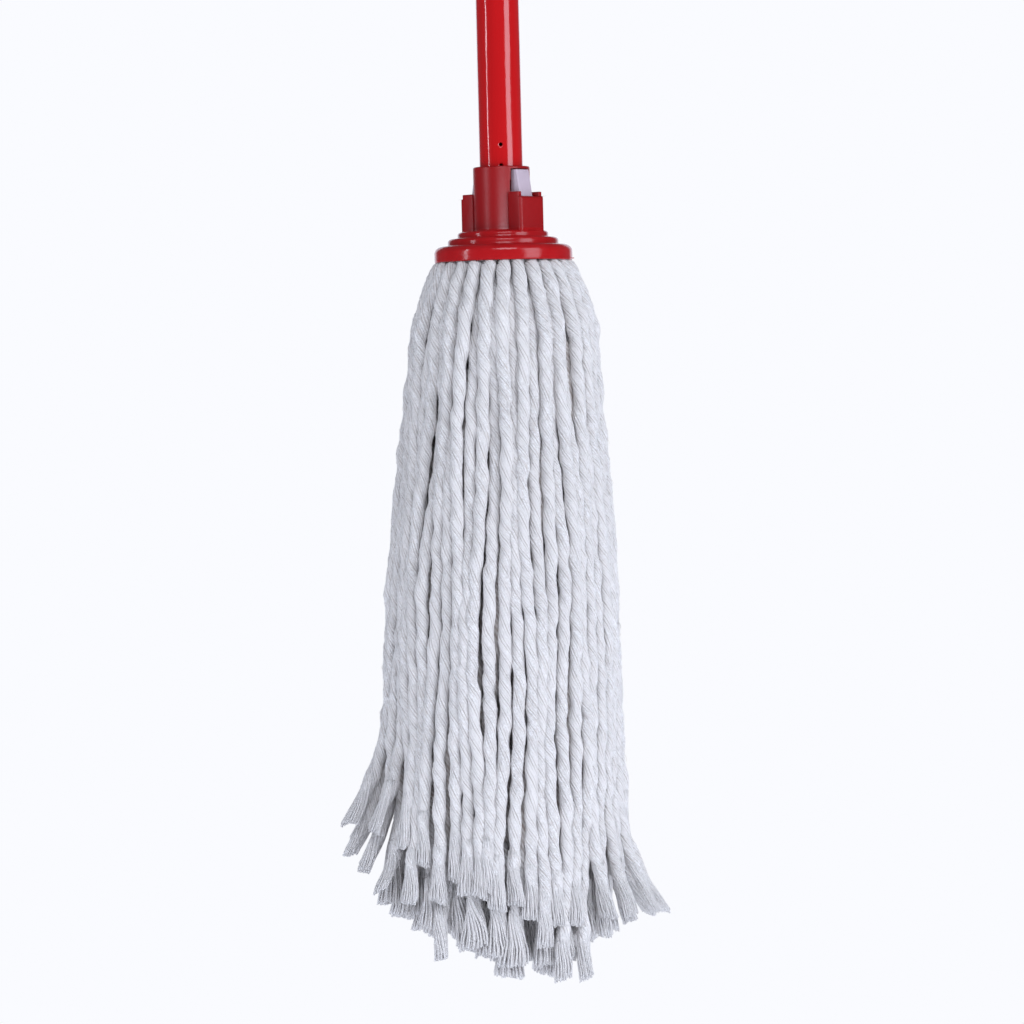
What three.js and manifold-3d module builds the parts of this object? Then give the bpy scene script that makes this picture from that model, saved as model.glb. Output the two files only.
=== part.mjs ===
// String mop: a cotton yarn head in a moulded socket, gripped on a coated steel tube by two wedges.
// Millimetres, +Z up. The origin is the point of the cap's eye that bears on a hook, and the mop
// hangs down from it along -Z. The two wedge pockets of the socket face +X and -X.
import * as THREE from 'three';
import { mergeVertices } from 'three/addons/utils/BufferGeometryUtils.js';
import Module from 'manifold-3d';

// ---- Driving dimensions ----
const GAP = 0.3; // clearance between pieces that touch
const ROUND = 40; // facets round a turned piece
const CUT = 1; // how far a cutting shape runs past the face it cuts

const HANDLE_LENGTH = 1200; // top of the cap to the lower end of the tube
const TUBE = {
  radius: 11,
  wall: 0.7,
  holeRadius: 0.9,
  holeHeights: [31.1, 41.7], // above the tube's lower end
  holeBearing: -45, // degrees from +X
};
const CAP = {
  aboveTube: 32, // height of the cap over the tube's end
  sleeve: 26, // depth of the tube in the cap
  radius: 12.4,
  tipRadius: 9,
  tabHalf: 4.5, // half the thickness of the flat tab
  tabHeight: 24, // from the tip down to the tab's shoulders
  eyeRadius: 4.5,
  crown: 6, // material over the eye
};

// Heights in the head are above the lower rim of the flange, where the yarn leaves it.
const FLANGE = [
  // the three steps from the bottom, each with the hollow under it
  { radius: 35.1, top: 8.2, rounding: 3.6, cupRadius: 33.4, cupTop: 6.2 },
  { radius: 28.15, top: 12, rounding: 1.8, cupRadius: 26, cupTop: 10 },
  { radius: 23.05, top: 15.3, rounding: 1.4, cupRadius: 21, cupTop: 13.8 },
];
const COLLAR = { radius: 14.4, bore: 11.3, top: 48.3, floor: 17.3, screwHole: 2.3 };
const POCKET = {
  reach: 21.8, // axis to outer face
  width: 17,
  sideTop: 34.9,
  wallTop: 32.5,
  wallStep: 1.6, // how far the low outer wall runs in under the high side walls
  hollowWidth: 12.4,
  windowTop: 46.8,
};
const WEDGE = { width: 9, top: 46.4, height: 23, topReach: 15.3, slope: 9.6 }; // slope in degrees

const PLATE = { radius: 8.5, top: 1.2, thickness: 3, hole: 2.3 };
const SCREW = {
  radius: 2,
  tip: 21.5,
  point: 2.5, // length of the pointed end
  headRadius: 4,
  headHeight: 2.6,
  recess: { width: 1, length: 4.6, depth: 1.3 },
};

// Yarn: folded strands hang from the cup. A drop is a depth below the flange's lower rim.
const STRAND = { radius: 3.1, sides: 8, count: 28, steps: 21, crowding: 1.45, startDrop: -1.1 };
const MOUTH_CIRCLE = 29.3; // radius of the circle that the outer strands leave the cup on
const SWELLS = [
  // how the circle widens: by so much, over a drop of about so much
  { by: 15, over: 18, power: 1.6 },
  { by: 14, over: 130, power: 2.2 },
];
const SHORT_SIDE = -45; // bearing where the yarn is cut shortest, in degrees
const DROP = { mean: 331, slant: 9, sway: 21, tuck: 25, uneven: 5, unevenStep: 5 };
const FLARE = { reach: 23, length: 64, power: 4 }; // the ends of the two sides kick out
const WANDER = { radial: 1.4, settleDrop: 40, lengths: [340, 150], weights: [0.62, 0.32] };
const LEAN = { slope: 0.0244, bearing: 225 }; // the yarn hangs off the handle's line by so much
const CORE = { drop: 360, neckClear: 0.7, slack: 0.2, stations: 14 };
const CORE_END = [
  // height above the lowest point, share of the full radius
  [0, 0.35],
  [12, 0.7],
  [32, 0.9],
  [58, 1],
];

// ---- Derived sizes ----
const capTop = CAP.crown;
const tubeTop = capTop - CAP.aboveTube;
const tubeEnd = capTop - HANDLE_LENGTH;
const flangeRim = tubeEnd - GAP - COLLAR.floor;
const boss = FLANGE[2]; // the step that carries the collar and the pockets
const plateBottom = PLATE.top - PLATE.thickness;
const screwHeadTop = plateBottom - GAP;
const screwBottom = screwHeadTop - SCREW.headHeight;
const slopeTan = Math.tan(THREE.MathUtils.degToRad(WEDGE.slope));
const shortBearing = THREE.MathUtils.degToRad(SHORT_SIDE);
const sideBearing = shortBearing + Math.PI / 2;
const leanBearing = THREE.MathUtils.degToRad(LEAN.bearing);
const lean = [LEAN.slope * Math.cos(leanBearing), LEAN.slope * Math.sin(leanBearing)];
const golden = (Math.sqrt(5) - 1) / 2; // spreads the strands' phases evenly

// ---- Joining and cutting ----
const wasm = await Module();
wasm.setup();

function solidOf(geometry) {
  const bare = geometry.index ? geometry.toNonIndexed() : geometry.clone();
  bare.deleteAttribute('normal');
  bare.deleteAttribute('uv');
  const merged = mergeVertices(bare, 1e-4);
  return new wasm.Manifold(new wasm.Mesh({
    numProp: 3,
    vertProperties: new Float32Array(merged.attributes.position.array),
    triVerts: new Uint32Array(merged.index.array),
  }));
}

function geometryOf(solid) {
  const mesh = solid.getMesh();
  const geometry = new THREE.BufferGeometry();
  geometry.setAttribute('position', new THREE.BufferAttribute(mesh.vertProperties, 3));
  geometry.setIndex(new THREE.BufferAttribute(mesh.triVerts, 1));
  geometry.computeVertexNormals();
  return geometry;
}

// ---- Shape helpers ----
// Turns a profile of [radius, height] points round Z; it runs anticlockwise.
function turned(points, segments = ROUND) {
  const profile = points.map(([r, z]) => new THREE.Vector2(r, z));
  return new THREE.LatheGeometry(profile, segments).rotateX(Math.PI / 2);
}

// A closed ring of the same kind of profile, which doesn't meet the axis.
function turnedRing(points, segments = ROUND) {
  return turned([...points, points[0]], segments);
}

function rod(radius, from, to, segments = ROUND) {
  const geometry = new THREE.CylinderGeometry(radius, radius, to - from, segments);
  return geometry.rotateX(Math.PI / 2).translate(0, 0, (from + to) / 2);
}

function block([x0, x1], [y0, y1], [z0, z1]) {
  const geometry = new THREE.BoxGeometry(x1 - x0, y1 - y0, z1 - z0);
  return geometry.translate((x0 + x1) / 2, (y0 + y1) / 2, (z0 + z1) / 2);
}

// An outline in X and Z, extruded to a width centred on the XZ plane.
function slab(points, width) {
  const shape = new THREE.Shape(points.map(([x, z]) => new THREE.Vector2(x, z)));
  const geometry = new THREE.ExtrudeGeometry(shape, { depth: width, bevelEnabled: false });
  return geometry.rotateX(Math.PI / 2).translate(0, width / 2, 0);
}

// Points of a quarter-round edge, from the side of a step up to its top.
function roundedEdge(radius, top, rounding, parts = 4) {
  const points = [];
  for (let i = 0; i <= parts; i++) {
    const a = (i / parts) * Math.PI / 2;
    points.push([radius - rounding * (1 - Math.cos(a)), top - rounding * (1 - Math.sin(a))]);
  }
  return points;
}

// ---- Handle ----
function handleTube() {
  const inner = TUBE.radius - TUBE.wall;
  const wall = [[inner, tubeEnd], [TUBE.radius, tubeEnd], [TUBE.radius, tubeTop], [inner, tubeTop]];
  const bearing = THREE.MathUtils.degToRad(TUBE.holeBearing);
  let tube = solidOf(turnedRing(wall));
  for (const height of TUBE.holeHeights) {
    const drill = new THREE.CylinderGeometry(TUBE.holeRadius, TUBE.holeRadius, TUBE.radius, 12);
    drill.rotateZ(Math.PI / 2).translate(TUBE.radius, 0, tubeEnd + height).rotateZ(bearing);
    tube = tube.subtract(solidOf(drill));
  }
  return geometryOf(tube);
}

function hangingCap() {
  const skirt = tubeTop - CAP.sleeve;
  const shoulder = capTop - CAP.tabHeight;
  const wide = CAP.radius * 2;
  const bullet = [[0, skirt], [CAP.radius, skirt], [CAP.radius, shoulder + CAP.tipRadius],
    ...roundedEdge(CAP.radius, capTop, CAP.tipRadius), [0, capTop]];
  const eye = new THREE.CylinderGeometry(CAP.eyeRadius, CAP.eyeRadius, wide, 24);
  eye.translate(0, 0, -CAP.eyeRadius);
  return geometryOf(solidOf(turned(bullet))
    .subtract(solidOf(block([-wide, wide], [CAP.tabHalf, wide], [shoulder, wide])))
    .subtract(solidOf(block([-wide, wide], [-wide, -CAP.tabHalf], [shoulder, wide])))
    .subtract(solidOf(eye))
    .subtract(solidOf(rod(TUBE.radius + GAP, skirt - CUT, tubeTop + GAP))));
}

// ---- Socket: a stepped flange over a cup, a collar for the tube, and two wedge pockets ----
function flangeAndCollar() {
  const ceiling = [...FLANGE].reverse().flatMap((step) => {
    const below = FLANGE[FLANGE.indexOf(step) - 1];
    return [[step.cupRadius, step.cupTop], [step.cupRadius, below ? below.cupTop : 0]];
  });
  const steps = FLANGE.flatMap((step, i) => [
    [step.radius, i ? FLANGE[i - 1].top : 0],
    ...roundedEdge(step.radius, step.top, step.rounding),
  ]);
  return turnedRing([
    [COLLAR.screwHole, boss.cupTop],
    ...ceiling,
    ...steps,
    [COLLAR.radius, boss.top],
    [COLLAR.radius, COLLAR.top],
    [COLLAR.bore, COLLAR.top],
    [COLLAR.bore, COLLAR.floor],
    [COLLAR.screwHole, COLLAR.floor],
  ]);
}

// The outer face of a wedge leans in towards the top, and the pocket's hollow leans with it.
function wedgeReach(height) {
  return WEDGE.topReach + (WEDGE.top - height) * slopeTan;
}

function pocketBox() {
  const inside = (COLLAR.bore + COLLAR.radius) / 2;
  const stepIn = POCKET.reach - POCKET.wallStep;
  const foot = boss.top - CUT;
  return slab([[inside, foot], [POCKET.reach, foot], [POCKET.reach, POCKET.wallTop],
    [stepIn, POCKET.wallTop], [stepIn, POCKET.sideTop], [inside, POCKET.sideTop]], POCKET.width);
}

function pocketHollow() {
  const inside = COLLAR.bore - CUT;
  const outside = POCKET.reach + CUT;
  return slab([[inside, COLLAR.floor], [wedgeReach(COLLAR.floor) + GAP, COLLAR.floor],
    [wedgeReach(POCKET.wallTop) + GAP, POCKET.wallTop], [outside, POCKET.wallTop],
    [outside, POCKET.windowTop], [inside, POCKET.windowTop]], POCKET.hollowWidth);
}

function mopSocket() {
  let socket = solidOf(flangeAndCollar());
  for (const turn of [0, Math.PI]) {
    socket = socket.add(solidOf(pocketBox().rotateZ(turn)));
    socket = socket.subtract(solidOf(pocketHollow().rotateZ(turn)));
  }
  return geometryOf(socket);
}

// A locking wedge, hollowed on its inner face to the tube's curve.
function wedge() {
  const bottom = WEDGE.top - WEDGE.height;
  const inside = TUBE.radius - CUT;
  const outline = [[inside, bottom], [wedgeReach(bottom), bottom],
    [WEDGE.topReach, WEDGE.top], [inside, WEDGE.top]];
  const tube = rod(TUBE.radius + GAP, bottom - CUT, WEDGE.top + CUT);
  return geometryOf(solidOf(slab(outline, WEDGE.width)).subtract(solidOf(tube)));
}

// ---- What holds the yarn in the cup ----
function retainerPlate() {
  return turnedRing([[PLATE.hole, plateBottom], [PLATE.radius, plateBottom],
    [PLATE.radius, PLATE.top], [PLATE.hole, PLATE.top]]);
}

function retainerScrew() {
  const { headRadius, radius, recess } = SCREW;
  const body = turned([[0, screwBottom], [headRadius * 0.8, screwBottom],
    [headRadius, screwBottom + headRadius * 0.2], [headRadius, screwHeadTop],
    [radius, screwHeadTop], [radius, SCREW.tip - SCREW.point], [0, SCREW.tip]], 24);
  const across = [-recess.length / 2, recess.length / 2];
  const narrow = [-recess.width / 2, recess.width / 2];
  const deep = [screwBottom - CUT, screwBottom + recess.depth];
  return geometryOf(solidOf(body)
    .subtract(solidOf(block(across, narrow, deep)))
    .subtract(solidOf(block(narrow, across, deep))));
}

// ---- Yarn ----
// The packed folds of all the strands, which fill the cup.
function yarnCrown() {
  const bottom = PLATE.top + GAP;
  const outside = FLANGE.flatMap((step, i) => [
    [step.cupRadius - GAP, i ? FLANGE[i - 1].cupTop - GAP : bottom],
    [step.cupRadius - GAP, step.cupTop - GAP],
  ]);
  const hole = SCREW.radius + GAP;
  return turnedRing([[hole, bottom], ...outside, [hole, boss.cupTop - GAP]]);
}

function circleAt(drop) {
  const depth = Math.max(drop, 0);
  const swellAt = (s) => s.by * (1 - Math.exp(-((depth / s.over) ** s.power)));
  return SWELLS.reduce((radius, swell) => radius + swellAt(swell), MOUTH_CIRCLE);
}

// 0 in the cup, where the strands are packed, to 1 where they hang freely.
function looseness(drop) {
  return THREE.MathUtils.smoothstep(drop, 0, WANDER.settleDrop);
}

function wave(seed, drop) {
  return WANDER.lengths.reduce((sum, length, k) => {
    const turn = drop / length + golden * (k + 1) * seed;
    return sum + WANDER.weights[k] * Math.sin(2 * Math.PI * turn);
  }, 0);
}

function strandBearing(i) {
  return 2 * Math.PI * (i + 0.5) / STRAND.count;
}

function strandDrop(i) {
  const front = Math.cos(strandBearing(i) - shortBearing);
  const side = Math.cos(strandBearing(i) - sideBearing);
  const jitter = Math.sin(2 * Math.PI * golden * DROP.unevenStep * i);
  return DROP.mean - DROP.slant * front + DROP.sway * side
    - DROP.tuck * side ** 4 + DROP.uneven * jitter;
}

function strandPoint(i, drop) {
  const circle = circleAt(drop);
  const loose = looseness(drop);
  const room = (2 * Math.PI * circle / STRAND.count - 2 * STRAND.radius - GAP) / 2;
  const bearing = strandBearing(i) + loose * room * wave(i, drop) / circle;
  const towardsEnd = Math.max(0, 1 - (strandDrop(i) - drop) / FLARE.length);
  const kick = FLARE.reach * Math.abs(Math.cos(bearing - sideBearing)) ** FLARE.power * towardsEnd ** 2;
  const reach = circle + WANDER.radial * loose * wave(i + 0.5, drop) + kick;
  const [aside, back] = lean.map((slope) => slope * Math.max(drop, 0));
  return new THREE.Vector3(reach * Math.cos(bearing) + aside, reach * Math.sin(bearing) + back, -drop);
}

// A strand's route, whose stations crowd towards the cup, where it bends most.
class StrandRoute extends THREE.Curve {
  constructor(i) {
    super();
    this.strand = i;
  }

  getPoint(t, target = new THREE.Vector3()) {
    const along = t ** STRAND.crowding;
    const drop = THREE.MathUtils.lerp(STRAND.startDrop, strandDrop(this.strand), along);
    return target.copy(strandPoint(this.strand, drop));
  }

  getUtoTmapping(u) {
    return u;
  }
}

function strand(i) {
  const section = [];
  for (let k = 0; k < STRAND.sides; k++) {
    const a = 2 * Math.PI * k / STRAND.sides;
    section.push(new THREE.Vector2(STRAND.radius * Math.cos(a), STRAND.radius * Math.sin(a)));
  }
  return new THREE.ExtrudeGeometry(new THREE.Shape(section), {
    steps: STRAND.steps,
    bevelEnabled: false,
    extrudePath: new StrandRoute(i),
  });
}

// The inner strands as one body, inside the ring of outer ones and round the plate and screw.
function yarnCore() {
  const neck = PLATE.radius + CORE.neckClear;
  const coreRadius = (drop) => circleAt(drop) - STRAND.radius - GAP - CORE.slack
    - WANDER.radial * looseness(drop);
  const end = CORE_END.map(([height, share]) =>
    [share * coreRadius(CORE.drop - height), height - CORE.drop]);
  const fullDrop = CORE.drop - CORE_END.at(-1)[0];
  const side = [];
  for (let k = 1; k <= CORE.stations; k++) {
    // closer together near the cup, where the outline bends most
    const drop = fullDrop * (1 - k / CORE.stations) ** 2;
    side.push([coreRadius(drop), -drop]);
  }
  const upright = turned([[0, -CORE.drop], ...end, ...side, [coreRadius(0), PLATE.top], [neck, PLATE.top],
    [neck, screwBottom - CORE.neckClear], [0, screwBottom - CORE.neckClear]]);
  return upright.applyMatrix4(new THREE.Matrix4().makeShear(0, 0, 0, 0, -lean[0], -lean[1]));
}

// ---- Assembly ----
const LOOKS = {
  coatedSteel: { color: 0xb8161c, roughness: 0.18, metalness: 0 },
  redPlastic: { color: 0xa82328, roughness: 0.38, metalness: 0 },
  milkyPlastic: { color: 0xbeb4cd, roughness: 0.5, metalness: 0 },
  zincSteel: { color: 0xb4b6ba, roughness: 0.35, metalness: 1 },
  cotton: { color: 0xe0dfe4, roughness: 0.95, metalness: 0 },
};

function piece(name, geometry, look) {
  const mesh = new THREE.Mesh(geometry, new THREE.MeshStandardMaterial(look));
  mesh.name = name;
  return mesh;
}

const handle = new THREE.Group();
handle.add(piece('handle_tube', handleTube(), LOOKS.coatedSteel));
handle.add(piece('hanging_cap', hangingCap(), LOOKS.redPlastic));

const rightWedge = piece('locking_wedge_right', wedge(), LOOKS.milkyPlastic);
const leftWedge = piece('locking_wedge_left', wedge(), LOOKS.milkyPlastic);
leftWedge.rotation.z = Math.PI;

const head = new THREE.Group();
head.position.z = flangeRim;
head.add(piece('mop_socket', mopSocket(), LOOKS.redPlastic), rightWedge, leftWedge);
head.add(piece('retainer_plate', retainerPlate(), LOOKS.milkyPlastic));
head.add(piece('retainer_screw', retainerScrew(), LOOKS.zincSteel));
head.add(piece('yarn_crown', yarnCrown(), LOOKS.cotton));
head.add(piece('yarn_core', yarnCore(), LOOKS.cotton));
for (let i = 0; i < STRAND.count; i++) {
  head.add(piece(`yarn_strand_${String(i + 1).padStart(2, '0')}`, strand(i), LOOKS.cotton));
}

const stringMop = new THREE.Group();
stringMop.add(handle, head);

export default stringMop;
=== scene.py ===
# String mop: its looks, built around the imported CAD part. Metres, +Z up; the mop hangs from its eye.
import math

import bpy
import numpy as np
from mathutils import Matrix, Vector


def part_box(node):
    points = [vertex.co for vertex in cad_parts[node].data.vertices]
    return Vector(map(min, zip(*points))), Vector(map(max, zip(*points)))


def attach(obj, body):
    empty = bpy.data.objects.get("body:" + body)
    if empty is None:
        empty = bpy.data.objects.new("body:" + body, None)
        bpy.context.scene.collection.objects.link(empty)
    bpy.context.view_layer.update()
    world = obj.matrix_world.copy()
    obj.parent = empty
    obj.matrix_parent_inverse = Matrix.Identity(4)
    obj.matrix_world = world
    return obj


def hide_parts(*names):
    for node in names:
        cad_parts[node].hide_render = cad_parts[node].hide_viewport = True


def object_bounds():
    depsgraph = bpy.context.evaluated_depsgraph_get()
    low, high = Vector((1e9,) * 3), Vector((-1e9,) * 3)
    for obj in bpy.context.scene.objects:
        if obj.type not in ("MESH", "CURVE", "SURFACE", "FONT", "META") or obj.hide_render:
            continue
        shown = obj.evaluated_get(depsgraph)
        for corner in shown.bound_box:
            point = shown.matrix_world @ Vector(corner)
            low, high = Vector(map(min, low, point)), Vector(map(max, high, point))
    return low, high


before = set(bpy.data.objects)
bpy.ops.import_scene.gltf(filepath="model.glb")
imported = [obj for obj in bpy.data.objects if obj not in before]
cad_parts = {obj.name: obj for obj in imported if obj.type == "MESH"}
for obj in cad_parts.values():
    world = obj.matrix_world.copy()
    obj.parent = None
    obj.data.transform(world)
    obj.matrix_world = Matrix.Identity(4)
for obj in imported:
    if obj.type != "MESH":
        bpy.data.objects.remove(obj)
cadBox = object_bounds()

mm = 0.001
golden = (math.sqrt(5) - 1) / 2        # spreads phases evenly
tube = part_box("handle_tube")
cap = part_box("hanging_cap")
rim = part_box("mop_socket")[0].z        # the flange's lower rim, where the yarn comes out
tubeRadius = tube[1].x


# ---- camera ----
shot = {
    "azimuth": 45,          # degrees; 0 looks along +Y
    "distance": 3.5,
    "view": 0.521,          # height of the view at the mop
    "below": 0.1273,        # middle of the view under the flange
    "aside": 0.0012,        # and to its right
    "roll": 1.4,            # degrees; the handle's top leans left, the yarn hangs plumb
}


def aimCamera():
    turn = math.radians(shot["azimuth"])
    right = Vector((math.cos(turn), math.sin(turn), 0))
    back = Vector((math.sin(turn), -math.cos(turn), 0))
    target = Vector((0, 0, rim - shot["below"])) + right * shot["aside"]
    camera = bpy.data.objects.new("camera", bpy.data.cameras.new("camera"))
    bpy.context.scene.collection.objects.link(camera)
    camera.data.sensor_width = 36
    camera.data.lens = 36 * shot["distance"] / shot["view"]
    camera.data.clip_start, camera.data.clip_end = 0.05, 50
    camera.matrix_world = (Matrix.Translation(target + back * shot["distance"])
                           @ Matrix.Rotation(turn, 4, "Z") @ Matrix.Rotation(math.pi / 2, 4, "X")
                           @ Matrix.Rotation(-math.radians(shot["roll"]), 4, "Z"))
    bpy.context.scene.camera = camera
    return right, back


viewRight, viewBack = aimCamera()
print("camera aimed")


# the outer strands lie on the CAD routes; a drop is the depth below the flange's rim
yarn = {
    "radius": 3.1,              # mm, as all lengths here
    "count": 28,                # strands in the outer ring, and as many between and behind them
    "startDrop": -1.1,
    "mouthCircle": 29.3,
    "swells": [(15, 18, 1.6), (14, 130, 2.2)],      # widens by, over a drop of about, power
    "shortSide": -45,
    "mean": 331, "slant": 9, "sway": 21, "tuck": 25, "uneven": 5, "unevenStep": 5,
    "flareReach": 23, "flareLength": 64, "flarePower": 4,
    "wanderRadial": 1.4, "settleDrop": 40, "waves": [(340, 0.62), (150, 0.32)],
    "leanSlope": 0.0244, "leanBearing": 225,
    "gap": 0.3,
    "lip": 3.0,
}
strandLook = {
    "plies": 12,                # twisted threads seen round a strand
    "ply": [1, 0.72, 0, 0.72],  # its section, from crest to groove and back
    "ringStep": 2.1,
    "pitch": 30,                # one turn of the twist
    "plyDepth": 0.105,          # depth of the grooves, share of the radius
    "plump": 1.04,              # the soft yarn stands a little proud of its CAD solid
    "fuller": 0.14, "fullerTo": 75,     # fatter where it leaves the cup, over this length
    "swell": 0.075,              # slow thick and thin
    "oval": 0.09,
    "curl": 0.32,               # how far the twist throws the strand off its line
    "fray": 24,                 # how much of the cut end comes undone
    "frayThreads": 54,
    "fanWide": 5.3, "fanDeep": 3.7,
    "lint": 26,                 # loose fibres along a strand
}
shortBearing = math.radians(yarn["shortSide"])
sideBearing = shortBearing + math.pi / 2
leanBearing = math.radians(yarn["leanBearing"])


def smooth(x, low, high):
    t = np.clip((x - low) / (high - low), 0, 1)
    return t * t * (3 - 2 * t)


def circleAt(drop):
    depth = np.maximum(drop, 0)
    return yarn["mouthCircle"] + sum(by * (1 - np.exp(-(depth / over) ** power))
                                     for by, over, power in yarn["swells"])


def wave(seed, drop):
    return sum(weight * np.sin(2 * math.pi * (drop / length + golden * (k + 1) * seed))
               for k, (length, weight) in enumerate(yarn["waves"]))


def bearingOf(i):
    return 2 * math.pi * (i + 0.5) / yarn["count"]


def dropOf(i):
    # a strand's whole drop; i may lie between two outer strands
    front = math.cos(bearingOf(i) - shortBearing)
    side = math.cos(bearingOf(i) - sideBearing)
    jitter = math.sin(2 * math.pi * golden * yarn["unevenStep"] * i)
    return (yarn["mean"] - yarn["slant"] * front + yarn["sway"] * side
            - yarn["tuck"] * side ** 4 + yarn["uneven"] * jitter)


def kickOut(bearing, drop, whole, power=yarn["flarePower"]):
    towardsEnd = np.maximum(0, 1 - (whole - drop) / yarn["flareLength"])
    return yarn["flareReach"] * np.abs(np.cos(bearing - sideBearing)) ** power * towardsEnd ** 2


def placed(reach, bearing, drop):
    # a point of the head from its reach off the axis, bearing and drop, leaning as the yarn does
    lean = yarn["leanSlope"] * np.maximum(drop, 0)
    x = reach * np.cos(bearing) + lean * math.cos(leanBearing)
    y = reach * np.sin(bearing) + lean * math.sin(leanBearing)
    return np.stack([x * mm, y * mm, rim - drop * mm], axis=-1)


def outerRoute(i):
    whole = dropOf(i)
    drop = np.linspace(yarn["startDrop"], whole, 420)
    circle = circleAt(drop)
    loose = smooth(drop, 0, yarn["settleDrop"])
    room = (2 * math.pi * circle / yarn["count"] - 2 * yarn["radius"] - yarn["gap"]) / 2
    bearing = bearingOf(i) + loose * room * wave(i, drop) / circle
    reach = circle + yarn["wanderRadial"] * loose * wave(i + 0.5, drop) + kickOut(bearing, drop, whole)
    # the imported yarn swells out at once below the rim
    reach = reach + yarn["lip"] * smooth(drop, 0.2, 4) * (1 - smooth(drop, 6, 22))
    return placed(reach, bearing, drop)


betweenLook = {
    "mouthReach": 24.0,
    "longer": 8,            # mean extra drop over the outer neighbours
    "uneven": 6,
    "longest": 361,
    "longGroup": {"bearing": -6, "spread": 20, "extra": 45},
    "flarePower": 2.2, "flareShare": 0.9, "flareRight": 0.1, "shorterRight": 20, "longerLeft": 18,
    "pressedIn": 0.2, "weave": 1.3,         # how far behind the outer ring, and how much it comes and goes
    "wander": 1.0,
}


def betweenDrop(i):
    group = betweenLook["longGroup"]
    off = (math.degrees(bearingOf(i + 0.5)) - group["bearing"] + 180) % 360 - 180
    extra = group["extra"] * math.exp(-(off / group["spread"]) ** 2)
    jitter = math.sin(2 * math.pi * golden * 3 * i + 1)
    aside = math.cos(bearingOf(i + 0.5) - sideBearing)
    return min(dropOf(i + 0.5) + betweenLook["longer"] * (1 - abs(aside)) + betweenLook["uneven"] * jitter
               + betweenLook["longerLeft"] * max(0, -aside) ** 3 - betweenLook["shorterRight"] * max(0, aside) ** 3
               + extra, betweenLook["longest"] + 2 * jitter)


def betweenRoute(i):
    # a strand that lies in the gap between outer strands i and i + 1, as deep as the gap lets it
    middle = i + 0.5
    whole = betweenDrop(i)
    drop = np.linspace(yarn["startDrop"], whole, 420)
    circle = circleAt(drop)
    loose = smooth(drop, 0, yarn["settleDrop"])
    halfGap = math.pi * circle / yarn["count"]
    width = 2 * yarn["radius"]
    inset = (np.sqrt(np.maximum(0, width ** 2 - halfGap ** 2)) + betweenLook["pressedIn"]
             + betweenLook["weave"] * np.sin(2 * math.pi * (drop / 130 + golden * 7 * i)))
    room = (2 * math.pi * circle / yarn["count"] - width) / 2
    follow = (wave(i, drop) + wave(i + 1, drop)) / 2
    bearing = bearingOf(middle) + loose * room * follow / circle
    packed = smooth(drop, 0, 15)
    reach = betweenLook["mouthReach"] * (1 - packed) + (circle - inset) * packed
    share = np.where(np.cos(bearing - sideBearing) > 0, betweenLook["flareRight"], betweenLook["flareShare"])
    reach = (reach + betweenLook["wander"] * loose * wave(i + 0.25, drop)
             + share * kickOut(bearing, drop, whole, betweenLook["flarePower"]))
    return placed(reach, bearing, drop)


heartRings = [
    # strands, reach at the mouth, depth behind the outer ring, first bearing
    (26, 17.4, 7.5, 0.1),
    (18, 12.3, 15.5, 0.4),
    (12, 11.6, 26, 0.7),
]
heartLook = {
    "shortest": 318, "uneven": 5,
    "longest": 41, "longAt": 8, "longOver": 42,        # longer by, where across the view, over what width
    "tuftAt": -31, "tuft": 351,                         # one end hangs out at the left
    "plump": 1.2, "fan": 1.6, "flareLeft": 0.4, "heavier": 1.25, "lowest": 361,
    "bundleShade": 0.6,             # painted warm shade where the strands lie inside the bundle
}


def heartRoute(ring, k):
    look = heartLook
    count, mouth, depth, first = heartRings[ring]
    bearing = first + 2 * math.pi * k / count
    aside = (circleAt(330) - depth) * math.cos(bearing - sideBearing)
    whole = (look["shortest"] + look["longest"] * math.exp(-((aside - look["longAt"]) / look["longOver"]) ** 2)
             + look["uneven"] * math.sin(2 * math.pi * golden * (3 * k + ring)))
    whole = min(whole, look["lowest"])
    tuft = ring == 0 and abs(aside - look["tuftAt"]) < 5 and math.cos(bearing - shortBearing) > 0
    if tuft:
        whole = look["tuft"]
    drop = np.linspace(yarn["startDrop"], whole, 300)
    loose = smooth(drop, 0, 60)
    bearing = bearing + 0.08 * loose * wave(k + 0.7, drop)
    packed = smooth(drop, 4, 50)
    reach = mouth * (1 - packed) + (circleAt(drop) - depth) * packed + 2.0 * loose * wave(k + 0.3 * ring, drop)
    reach = reach + look["flareLeft"] * (aside < 0) * kickOut(bearing, drop, whole, 2.5)
    return placed(reach, bearing, drop), 0.8 if tuft else look["fan"]


def evenSteps(points, step):
    # the same line, with its points an even step apart
    spans = np.linalg.norm(np.diff(points, axis=0), axis=1)
    along = np.concatenate([[0], np.cumsum(spans)])
    count = max(8, int(round(along[-1] / step)) + 1)
    at = np.linspace(0, along[-1], count)
    return np.stack([np.interp(at, along, points[:, c]) for c in range(3)], axis=1), at


def sideways(points):
    # two directions square to the line at each of its points
    ahead = np.gradient(points, axis=0)
    ahead /= np.linalg.norm(ahead, axis=1)[:, None]
    reference = np.array([0.6, 0.8, 0.0])
    across = reference - ahead * (ahead @ reference)[:, None]
    across /= np.linalg.norm(across, axis=1)[:, None]
    return across, np.cross(ahead, across)


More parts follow.
